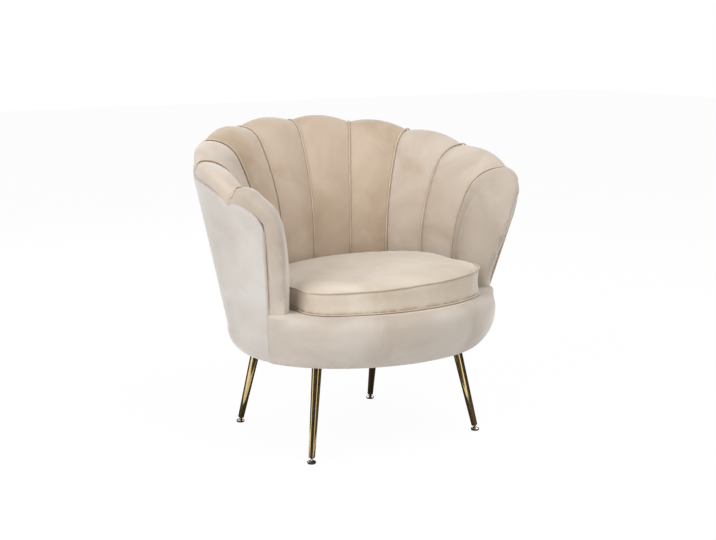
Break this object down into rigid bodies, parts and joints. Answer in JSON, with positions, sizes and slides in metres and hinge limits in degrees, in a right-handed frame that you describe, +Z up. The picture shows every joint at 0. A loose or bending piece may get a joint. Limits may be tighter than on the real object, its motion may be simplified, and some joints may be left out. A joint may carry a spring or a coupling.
{
  "type": "armchair",
  "caption": "Shell-back tub armchair with a fluted, padded velvet back that rolls over the rim, a loose piped seat cushion and splayed tapered metal legs.",
  "frame": {"origin": "on the floor, under the middle of the chair's bounding box", "axes": "+X to the right as seen from in front of the chair, +Y from the front to the back, +Z up"},
  "size_m": [0.8362, 0.6432, 0.7662],
  "materials": {
    "velvet": "short-pile champagne velvet",
    "timber": "sawn, unfinished",
    "plywood": "bent plywood, unfinished",
    "webbing": "woven elastic webbing",
    "foam": "cut upholstery foam",
    "lining": "matte spun lining cloth",
    "gold": "polished gold-coloured plating on steel tube",
    "steel": "zinc plated",
    "bright_metal": "bright plated",
    "plug_plastic": "moulded",
    "pad_rubber": "matte",
    "zip_tape": "woven tape with moulded coil",
    "zip_metal": "plated"
  },
  "bodies": {
    "frame": {"petal_01": "velvet", "petal_02": "velvet", "petal_03": "velvet", "petal_04": "velvet", "petal_05": "velvet", "petal_06": "velvet", "petal_07": "velvet", "petal_08": "velvet", "petal_09": "velvet", "petal_10": "velvet", "petal_piping": "velvet", "front_piping": "velvet", "outer_cover": "velvet", "front_band": "velvet", "deck_cover": "velvet", "seat_ring": "timber", "rib_centre": "timber", "rib_1_left": "timber", "rib_1_right": "timber", "rib_2_left": "timber", "rib_2_right": "timber", "rib_3_left": "timber", "rib_3_right": "timber", "rib_4_left": "timber", "rib_4_right": "timber", "arm_post_left": "timber", "arm_post_right": "timber", "front_ribs": "timber", "rim_rail": "timber", "base_board": "timber", "inner_panel": "plywood", "webbing_lengthwise": "webbing", "webbing_crosswise": "webbing", "deck_pad": "foam", "dust_cover": "lining", "leg_front_right": "gold", "leg_front_left": "gold", "leg_back_right": "gold", "leg_back_left": "gold", "leg_plates": "gold", "tee_nuts": "steel", "leg_plugs": "plug_plastic"},
    "cushion": {"cushion_cover": "velvet", "cushion_foam": "foam", "cushion_welt_top": "velvet", "cushion_welt_bottom": "velvet", "cushion_zip": "zip_tape"},
    "zip_slider": {"zip_slider": "zip_metal"},
    "glide_stud_front_right": {"glide_stud_front_right": "steel"},
    "glide_foot_front_right": {"glide_disc_front_right": "bright_metal", "glide_pad_front_right": "pad_rubber"},
    "glide_stud_front_left": {"glide_stud_front_left": "steel"},
    "glide_foot_front_left": {"glide_disc_front_left": "bright_metal", "glide_pad_front_left": "pad_rubber"},
    "glide_stud_back_right": {"glide_stud_back_right": "steel"},
    "glide_foot_back_right": {"glide_disc_back_right": "bright_metal", "glide_pad_back_right": "pad_rubber"},
    "glide_stud_back_left": {"glide_stud_back_left": "steel"},
    "glide_foot_back_left": {"glide_disc_back_left": "bright_metal", "glide_pad_back_left": "pad_rubber"}
  },
  "joints": [
    {"name": "cushion_lift", "type": "slide", "parent": "frame", "child": "cushion", "axis": [0, 0, 1], "range_m": [0, 0.4]},
    {"name": "zip_run", "type": "hinge", "parent": "cushion", "child": "zip_slider", "pos_m": [0, -0.14036, 0.38], "axis": [0, 0, 1], "range_deg": [0, 56]},
    {"name": "glide_screw_front_right", "type": "slide", "parent": "frame", "child": "glide_stud_front_right", "axis": [0.1747, -0.1573, -0.972], "range_m": [0, 0.008]},
    {"name": "glide_swivel_front_right", "type": "hinge", "parent": "glide_stud_front_right", "child": "glide_foot_front_right", "pos_m": [0.24303, -0.17603, 0.007], "axis": [-0.6691, -0.7431, 0], "range_deg": [-8, 8]},
    {"name": "glide_screw_front_left", "type": "slide", "parent": "frame", "child": "glide_stud_front_left", "axis": [-0.1747, -0.1573, -0.972], "range_m": [0, 0.008]},
    {"name": "glide_swivel_front_left", "type": "hinge", "parent": "glide_stud_front_left", "child": "glide_foot_front_left", "pos_m": [-0.24303, -0.17603, 0.007], "axis": [-0.6691, 0.7431, 0], "range_deg": [-8, 8]},
    {"name": "glide_screw_back_right", "type": "slide", "parent": "frame", "child": "glide_stud_back_right", "axis": [0.0943, 0.259, -0.9613], "range_m": [0, 0.008]},
    {"name": "glide_swivel_back_right", "type": "hinge", "parent": "glide_stud_back_right", "child": "glide_foot_back_right", "pos_m": [0.20196, 0.22218, 0.007], "axis": [0.9397, -0.342, 0], "range_deg": [-8, 8]},
    {"name": "glide_screw_back_left", "type": "slide", "parent": "frame", "child": "glide_stud_back_left", "axis": [-0.0943, 0.259, -0.9613], "range_m": [0, 0.008]},
    {"name": "glide_swivel_back_left", "type": "hinge", "parent": "glide_stud_back_left", "child": "glide_foot_back_left", "pos_m": [-0.20196, 0.22218, 0.007], "axis": [0.9397, 0.342, 0], "range_deg": [-8, 8]}
  ]
}
